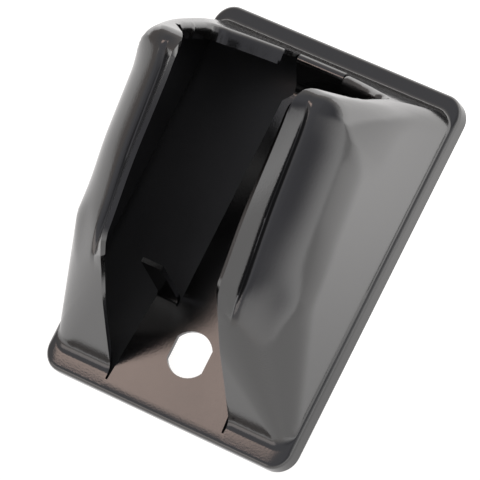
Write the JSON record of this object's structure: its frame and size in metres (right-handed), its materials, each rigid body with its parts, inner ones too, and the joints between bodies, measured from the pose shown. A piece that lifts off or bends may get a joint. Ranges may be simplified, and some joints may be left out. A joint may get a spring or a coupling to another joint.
{
  "type": "socket bracket",
  "caption": "Pressed black sheet-metal hang-up socket: a tall hood split by a front slit, open at one end, on a flanged plate with a keyed hole and bent-up stop tabs.",
  "frame": {"origin": "centre of the back face, in the plane that lies against the wall", "axes": "+X across the bracket, +Y along it towards the open mouth, +Z out of the wall towards the slit"},
  "size_m": [0.06, 0.084, 0.0461],
  "materials": {
    "shell_coating": "semi-gloss black coating with a fine grain",
    "back_coating": "matt black coating"
  },
  "bodies": {
    "root": {"hood_shell": "shell_coating", "back_plate": "back_coating"}
  },
  "joints": []
}
